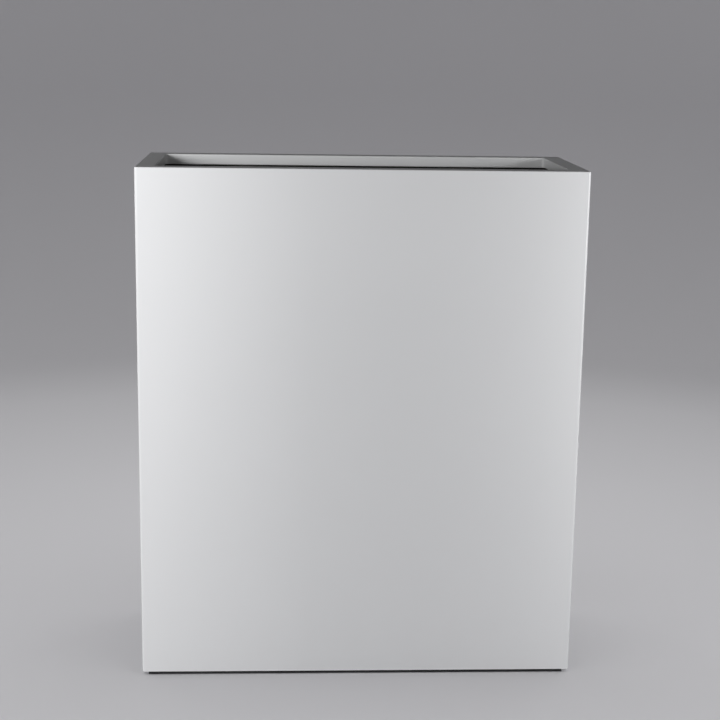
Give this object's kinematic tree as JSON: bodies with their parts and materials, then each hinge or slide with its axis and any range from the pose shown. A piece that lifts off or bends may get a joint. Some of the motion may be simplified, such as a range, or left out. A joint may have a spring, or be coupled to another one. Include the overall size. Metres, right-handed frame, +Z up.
{
  "type": "tall rectangular planter",
  "caption": "Tall straight-sided rectangular fiberglass planter with a flat rim, a turned-down lip, a lift-out planting shelf and plugged floor drains.",
  "frame": {"origin": "on the ground under the middle of the planter", "axes": "+Z up, +X to the viewer's right along the wide front face, -Y out of the front face"},
  "size_m": [0.775, 0.318, 0.914],
  "materials": {
    "gelcoat": "satin white gelcoat, with a dark flow coat inside",
    "laminate": "dark flow coat over glass laminate",
    "batten": "sealed plywood batten",
    "pultrusion": "grey pultruded glass fibre angle",
    "shelf": "black recycled plastic sheet, fine grain",
    "fitting": "dark grey moulded plastic",
    "rubber": "matt black rubber",
    "steel": "stainless steel"
  },
  "bodies": {
    "planter": {"planter_shell": "gelcoat", "floor_panel": "laminate", "rim_core_front": "batten", "rim_core_back": "batten", "rim_core_left": "batten", "rim_core_right": "batten", "wall_rib_front_left": "laminate", "wall_rib_front_right": "laminate", "wall_rib_back_left": "laminate", "wall_rib_back_right": "laminate", "shelf_ledge_front": "pultrusion", "shelf_ledge_back": "pultrusion", "shelf_ledge_left": "pultrusion", "shelf_ledge_right": "pultrusion", "drain_body_left": "fitting", "drain_body_right": "fitting", "drain_gasket_left": "rubber", "drain_gasket_right": "rubber", "drain_nut_left": "fitting", "drain_nut_right": "fitting", "base_runner_front": "rubber", "base_runner_back": "rubber", "runner_screw_front_1": "steel", "runner_screw_front_2": "steel", "runner_screw_front_3": "steel", "runner_screw_front_4": "steel", "runner_screw_back_1": "steel", "runner_screw_back_2": "steel", "runner_screw_back_3": "steel", "runner_screw_back_4": "steel"},
    "shelf": {"planting_shelf": "shelf"},
    "plug_left": {"drain_plug_left": "rubber"},
    "plug_right": {"drain_plug_right": "rubber"}
  },
  "joints": [
    {"name": "shelf_lift", "type": "slide", "parent": "planter", "child": "shelf", "axis": [0, 0, 1], "range_m": [0, 0.36]},
    {"name": "plug_left_pull", "type": "slide", "parent": "planter", "child": "plug_left", "axis": [0, 0, 1], "range_m": [0, 0.03]},
    {"name": "plug_right_pull", "type": "slide", "parent": "planter", "child": "plug_right", "axis": [0, 0, 1], "range_m": [0, 0.03]}
  ]
}
